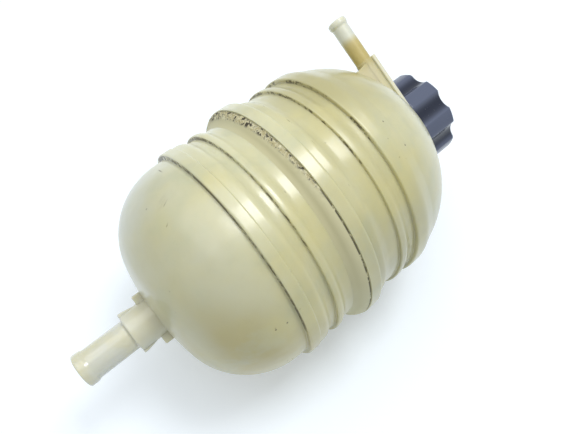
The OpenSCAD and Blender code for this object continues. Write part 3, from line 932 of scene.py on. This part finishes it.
# Each finish: the function that makes it, and the slot of the record that it stands for
FINISHES = {
    "aged_tank_plastic": (plastic_finish, "tank"),
    "burnt_weld_flash": (flash_finish, "tank"),
    "slate_cap_plastic": (cap_finish, "cap"),
    "dark_valve_nylon": (nylon_finish, "valve_plastic"),
    "black_seal_rubber": (rubber_finish, "seal"),
    "dulled_brass": (brass_finish, "valve_metal"),
    "spring_wire": (spring_finish, "spring_steel"),
}


def finish_named(name):
    """The finish of that name, made once."""
    return bpy.data.materials.get(name) or FINISHES[name][0](name)


class TANK_OT_lower_half(bpy.types.Operator):
    """Turns the lower half of the tank with its rings and outlet, and adds lugs and catches"""

    bl_idname = "tank.lower_half"
    bl_label = "Lower half"

    def execute(self, context):
        half = turned(lower_profile(), context.scene.tank_shape.turn_steps)
        piece = new_piece("lower_tank_shell", half)
        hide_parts("lower_tank_half")
        low = (-LUG_SPAN / 2, -LUG_W / 2, -LUG_END_Z)
        high = (LUG_SPAN / 2, LUG_W / 2, LUG_TOP_Z)
        new_piece("locating_lugs", pulled_box(low, high, LUG_EDGE))
        new_piece("outlet_catches", slab(self.catch_outline(), 0.0, CATCH_W))
        return {"FINISHED"}

    def catch_outline(self):
        """Both catches in one outline across the thick root, each ramped towards the dome."""
        out = CATCH_SPAN / 2
        low = -ROOT_END_Z
        side = [
            (out, low, 0.5), (out, low + CATCH_T, 0.9),
            (ROOT_R - CATCH_SINK, low + CATCH_RAMP * CATCH_T, 0.4),
        ]
        other = [(-x, z, cut) for x, z, cut in reversed(side)]
        return rounded([(0, low), *side, *other, (-0.1, low)], 4)


class TANK_OT_upper_half(bpy.types.Operator):
    """Turns the upper half of the tank with its rings, flange and filler neck"""

    bl_idname = "tank.upper_half"
    bl_label = "Upper half"

    def execute(self, context):
        half = turned(upper_profile(), context.scene.tank_shape.turn_steps)
        piece = new_piece("upper_tank_shell", half)
        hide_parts("upper_tank_half")
        return {"FINISHED"}


class TANK_OT_vent(bpy.types.Operator):
    """Makes the vent spigot with its duct, the web under it and the plate over it"""

    bl_idname = "tank.vent"
    bl_label = "Vent spigot"

    def execute(self, context):
        points, faces, caps = turned(vent_profile(), VENT_STEPS)
        points = points[:, [2, 1, 0]] * [1, 1, -1] + [0, VENT_Y, VENT_Z]
        new_piece("vent_spigot_duct", (points, faces, caps))
        half = DUCT_R + DECK_OVER
        low = (DECK_START_X, VENT_Y - half, DECK_Z - DECK_T)
        high = (BOSS_END_X + DECK_OVER, VENT_Y + half, DECK_Z)
        new_piece("vent_deck_plate", pulled_box(low, high, DECK_EDGE))
        new_piece("vent_web", slab(self.web_outline(), VENT_Y, WEB_W))
        return {"FINISHED"}

    def web_outline(self):
        """The web from the duct's axis down into the dome, its front slanting back."""
        foot = VENT_Z - WEB_SLANT_H
        back = BOSS_END_X - WEB_SLANT
        return rounded([
            (WEB_START_X, foot - WEB_SINK), (back, foot - WEB_SINK, 0.5), (back, foot, 0.8),
            (BOSS_END_X - 0.4, VENT_Z, 0.5), (WEB_START_X, VENT_Z, 0.5),
            (WEB_START_X, foot - WEB_SINK + 1),
        ])


class TANK_OT_weld_flash(bpy.types.Operator):
    """Makes the rough bead of plastic squeezed out below the weld flange"""

    bl_idname = "tank.weld_flash"
    bl_label = "Weld flash"

    def execute(self, context):
        steps = 900
        turn = np.arange(steps)[:, None] * TAU / steps
        front = without_doubles(rounded(FLASH_FRONT, 3))[::2]
        out = front + self.lumps(turn, len(front))[..., None] * [0.7, -0.7]
        out[..., 0] = np.minimum(out[..., 0], FLASH_MOST_R)
        back = np.broadcast_to(FLASH_BACK, (steps, 2, 2))
        section = np.concatenate([out, back], 1)
        bead = ring_shape(section[..., 0], turn, section[..., 1])
        new_piece("weld_flash", bead, "burnt_weld_flash", sharp=60.0)
        return {"FINISHED"}

    def lumps(self, turn, across):
        """How far each point of the front stands out: sine waves round the ring with random
        sizes and phases, and as much again at random from point to point. The bead is
        lively on the vent's side, and its front is held at both ends."""
        rough = bpy.context.scene.tank_shape.flash_rough / MM
        rng = np.random.default_rng(7)
        waves = np.arange(3, 150)
        phase = rng.uniform(0, TAU, len(waves))
        size = rng.normal(0, 1, len(waves)) / waves ** 0.45
        wander = (size * np.sin(turn * waves + phase)).sum(1, keepdims=True)
        wander = wander / np.abs(wander).max()
        lumps = rng.uniform(-1, 1, (len(turn), across)) * 0.55 + wander * 0.6
        lively = np.clip((np.cos(turn) * FLANGE_R + 5) / 25, 0.12, 1)
        place = np.linspace(0, 1, across)
        loose = np.interp(place, (0.0, 0.12, 0.4, 0.6, 1.0), (0, 0.7, 1.0, 0.1, 0))
        return lumps * lively * loose * rough


def thread_ridge(root_r, tip_r, thread, start):
    """A ridge of four-sided section wound round the Z axis at the thread's lead. It fades
    out of the wall over its first and last eighth of a turn."""
    low_z, high_z, root_w, tip_w = thread
    turns = (high_z - low_z) / THREAD_LEAD
    t = np.linspace(0, turns, int(turns * 96))[:, None]
    fade = np.clip(np.minimum(t, turns - t) * 8, 0, 1)
    radius = root_r + (tip_r - root_r) * fade * [0, 1, 1, 0]
    height = low_z + t * THREAD_LEAD + np.array([-root_w, -tip_w, tip_w, root_w]) / 2
    points = round_axis(radius, t * TAU + start, height)
    return points, *capped_tube(len(t), 4, tip_r > root_r)


class TANK_OT_threads(bpy.types.Operator):
    """Winds the thread on the filler neck and the one inside the cap"""

    bl_idname = "tank.threads"
    bl_label = "Threads"

    def execute(self, context):
        height = context.scene.tank_shape.thread_height / MM
        ridge = thread_ridge(NECK_R - THREAD_SINK, NECK_R + height, NECK_THREAD, 0.0)
        new_piece("neck_thread", ridge)
        ridge = thread_ridge(
            CAP_BORE_R + THREAD_SINK, CAP_BORE_R - height, CAP_THREAD, CAP_THREAD_START
        )
        new_piece("cap_thread", ridge, "slate_cap_plastic", "cap_grip")
        return {"FINISHED"}


def lobed_outline(turn):
    """Radius of the cap at each angle: its circle, dented between each pair of lobes by a
    flute's circle, as the soft minimum of the two."""
    soft, far = 5.0, CAP_R + 3
    spacing = TAU / LOBES
    from_flute = np.mod(turn - math.radians(LOBE_TURN), spacing) - spacing / 2
    flute_at = CAP_R - FLUTE_DEPTH + FLUTE_FILL + FLUTE_R
    inside = FLUTE_R ** 2 - (flute_at * np.sin(from_flute)) ** 2
    dent = flute_at * np.cos(from_flute) - np.sqrt(np.maximum(inside, 0))
    dent = np.where(inside > 0, dent, far)
    return CAP_R - np.log(np.exp(-soft * (dent - CAP_R)) + 1) / soft


def cap_outside():
    """Outside of the cap from its lip to its dished top, as (distance in from the lobed
    outline, height)."""
    top = CAP_BOTTOM_Z + CAP_H
    dish = [(inset, top - depth) for inset, depth in CAP_DISH]
    side = rounded([
        (0, CAP_BOTTOM_Z + 0.6), (0, CAP_BOTTOM_Z + 1.0, 0.2),
        (0, top - CAP_EDGE, 0.7), (CAP_EDGE, top, 0.7),
        (*dish[0], 0.6), (*dish[1], 0.6), dish[2],
    ])
    return np.vstack([[(0.6, CAP_BOTTOM_Z), (0.2, CAP_BOTTOM_Z + 0.2)], side])


def cap_cavity():
    """Inside of the cap from the hub under its roof to its lip, as (radius, height)."""
    roof = CAP_BOTTOM_Z + CAP_H - CAP_TOP_T
    return rounded([
        (HUB_R, roof), (SHELL_BORE_R, roof, 0.5),
        (SHELL_BORE_R, SNAP_HIGH_Z, 0.2), (SNAP_R, SNAP_HIGH_Z, 0.2),
        (SNAP_R, SNAP_LOW_Z, 0.2), (CAP_BORE_R, SNAP_LOW_Z, 0.2),
        (CAP_BORE_R, CAP_BOTTOM_Z, 0.4), (CAP_BORE_R + 1.2, CAP_BOTTOM_Z),
    ])


class TANK_OT_cap(bpy.types.Operator):
    """Makes the fluted screw cap"""

    bl_idname = "tank.cap"
    bl_label = "Cap"

    def execute(self, context):
        steps = 320
        turn = np.arange(steps) * TAU / steps
        outside, cavity = cap_outside(), cap_cavity()
        rim = lobed_outline(turn) - outside[:, :1]
        hub = np.full((1, steps), HUB_R)
        inside = np.repeat(cavity[:, :1], steps, 1)
        height = np.r_[outside[:, 1], outside[-1:, 1], cavity[:, 1]][:, None]
        points = round_axis(np.vstack([rim, hub, inside]), turn, height)
        hub_row = len(rim)
        faces = grid_faces(len(height), steps, True)
        faces = faces[faces[:, 0] // steps != hub_row]
        ring = np.arange(steps)
        caps = [ring + hub_row * steps, (ring + (hub_row + 1) * steps)[::-1]]
        shell = (points, faces, caps)
        piece = new_piece("cap_fluted_shell", shell, "slate_cap_plastic", "cap_grip", sharp=50.0)
        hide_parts("cap_shell")
        return {"FINISHED"}


def wire_coil(low_z, high_z, coil):
    """Round wire wound from low_z to high_z, with a closed first and last turn."""
    coil_r, wire_d, turns = coil
    steps, sides, closed = 64, 14, 1.02 * wire_d
    t = np.linspace(0, turns, int(turns * steps) + 1)[:, None]
    open_h = high_z - low_z - wire_d - 2 * closed
    climb = closed * (np.minimum(t, 1) + np.maximum(0, t - turns + 1))
    climb = climb + open_h * np.clip((t - 1) / (turns - 2), 0, 1)
    spin = np.arange(sides) * TAU / sides
    radius = coil_r + wire_d / 2 * np.cos(spin)
    height = low_z + wire_d / 2 + climb + wire_d / 2 * np.sin(spin)
    return round_axis(radius, t * TAU, height), *capped_tube(len(t), sides, True)


class TANK_OT_springs(bpy.types.Operator):
    """Winds the two valve springs, each standing between the pressure plate and the piece over it
    """

    bl_idname = "tank.springs"
    bl_label = "Springs"

    def execute(self, context):
        self.spring("pressure_spring", "spring_retainer", "cap_insert", PRESSURE_COIL)
        self.spring("vacuum_spring", "vacuum_clip", "vacuum_relief", VACUUM_COIL)
        return {"FINISHED"}

    def spring(self, node, over, over_body, coil):
        """Stands a coil between the pressure plate and the node over it; the body of that node,
        over_body, is not used."""
        low_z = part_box("pressure_plate")[1][2]
        high_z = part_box(over)[0][2]
        wire = wire_coil(low_z / MM + SKIN, high_z / MM - SKIN, coil)
        piece = new_piece(node + "_coil", wire, "spring_wire", None)
        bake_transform(piece)
        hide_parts(node)


class TANK_OT_valve(bpy.types.Operator):
    """Gives the valve's own pieces, and the solids under the new ones, their finishes"""

    bl_idname = "tank.valve"
    bl_label = "Valve pieces"

    def execute(self, context):
        worn = {
            "dark_valve_nylon": ("valve_body", "spring_retainer"),
            "black_seal_rubber": ("rim_gasket", "plug_o_ring", "pressure_seal"),
            "dulled_brass": ("pressure_plate", "vacuum_valve"),
            "spring_wire": ("pressure_spring", "vacuum_spring", "vacuum_clip"),
            "aged_tank_plastic": ("lower_tank_half", "upper_tank_half"),
            "slate_cap_plastic": ("cap_shell",),
        }
        for finish, nodes in worn.items():
            for node in nodes:
                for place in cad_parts[node].material_slots:
                    place.material = finish_named(finish)
        return {"FINISHED"}


def stand(thing, right, top, back, place):
    """Stands a lamp or a camera at a place, with its own axes along those directions."""
    matrix = np.eye(4)
    matrix[:3] = np.stack([right, top, back, place], 1)
    thing.matrix_world = Matrix(matrix.tolist())
    bpy.context.scene.collection.objects.link(thing)


class TANK_OT_stage(bpy.types.Operator):
    """Sets up the table, the light and the camera at the photograph's angle"""

    bl_idname = "tank.stage"
    bl_label = "Stage"

    def execute(self, context):
        self.table()
        self.room(context.scene)
        for name, (place, width, height, power) in LAMPS.items():
            self.lamp(name, place, width, height, getattr(context.scene.tank_stage, power))
        self.camera(context.scene)
        context.scene.view_settings.view_transform = "Standard"
        return {"FINISHED"}

    def table(self):
        """A square that touches the tank's side and stands along its axis."""
        up = np.array(TABLE_NORMAL) / np.linalg.norm(TABLE_NORMAL)
        ahead = np.array((0.0, 0.0, 1.0))
        side = np.cross(up, ahead)
        corners = [
            tuple(TABLE_REACH * (a * side + b * ahead) - TABLE_DEPTH * up)
            for a, b in ((-1, -1), (-1, 1), (1, 1), (1, -1))
        ]
        mesh = bpy.data.meshes.new("table_top")
        mesh.from_pydata(corners, [], [(0, 3, 2, 1)])
        mesh.materials.append(table_finish("white_table"))
        table = bpy.data.objects.new("table_top", mesh)
        bpy.context.scene.collection.objects.link(table)

    def room(self, scene):
        """Even light from all round."""
        world = bpy.data.worlds.new("room")
        world.use_nodes = True
        light = world.node_tree.nodes["Background"]
        light.inputs["Color"].default_value = ROOM_COLOUR
        light.inputs["Strength"].default_value = scene.tank_stage.fill
        scene.world = world

    def lamp(self, name, place, width, height, power):
        """A soft rectangular lamp that shines along its -Z axis at the origin."""
        light = bpy.data.lights.new(name, "AREA")
        light.shape = "RECTANGLE"
        light.size = width
        light.size_y = height
        light.energy = power
        back = np.array(place) / np.linalg.norm(place)
        right = np.cross((0.0, 0.0, 1.0), back)
        right = right / np.linalg.norm(right)
        stand(bpy.data.objects.new(name, light), right, np.cross(back, right), back, place)

    def camera(self, scene):
        """The camera, at the photograph's place and angle."""
        view = bpy.data.cameras.new("photo_view")
        view.lens = LENS
        view.sensor_width = SENSOR_W
        scene.camera = bpy.data.objects.new("photo_view", view)
        right = np.cross(CAMERA_TOP, CAMERA_BACK)
        stand(scene.camera, right, CAMERA_TOP, CAMERA_BACK, CAMERA_AT)


OPERATORS = (
    TANK_OT_lower_half,
    TANK_OT_upper_half,
    TANK_OT_vent,
    TANK_OT_weld_flash,
    TANK_OT_threads,
    TANK_OT_cap,
    TANK_OT_springs,
    TANK_OT_valve,
    TANK_OT_stage,
)


GROUPS = {"tank_shape": TankShape, "tank_colours": TankColours, "tank_stage": TankStage}


class TANK_PT_panel(bpy.types.Panel):
    """Lists the tank's sizes, colours and pieces"""

    bl_label = "Coolant Tank"
    bl_idname = "TANK_PT_panel"
    bl_space_type = "VIEW_3D"
    bl_region_type = "UI"
    bl_category = "Coolant Tank"

    def draw(self, context):
        for group in GROUPS:
            values = getattr(context.scene, group)
            for name in values.__annotations__:
                self.layout.prop(values, name)
        for operator in OPERATORS:
            self.layout.operator(operator.bl_idname)


CLASSES = (*GROUPS.values(), *OPERATORS, TANK_PT_panel)


def register():
    for made in CLASSES:
        bpy.utils.register_class(made)
    for name, group in GROUPS.items():
        setattr(bpy.types.Scene, name, PointerProperty(type=group))


def unregister():
    for name in GROUPS:
        delattr(bpy.types.Scene, name)
    for made in reversed(CLASSES):
        bpy.utils.unregister_class(made)


def main():
    """Registers the add-on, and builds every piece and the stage."""
    register()
    for operator in OPERATORS:
        getattr(bpy.ops.tank, operator.bl_idname.split(".")[1])()


if __name__ == "__main__":
    main()
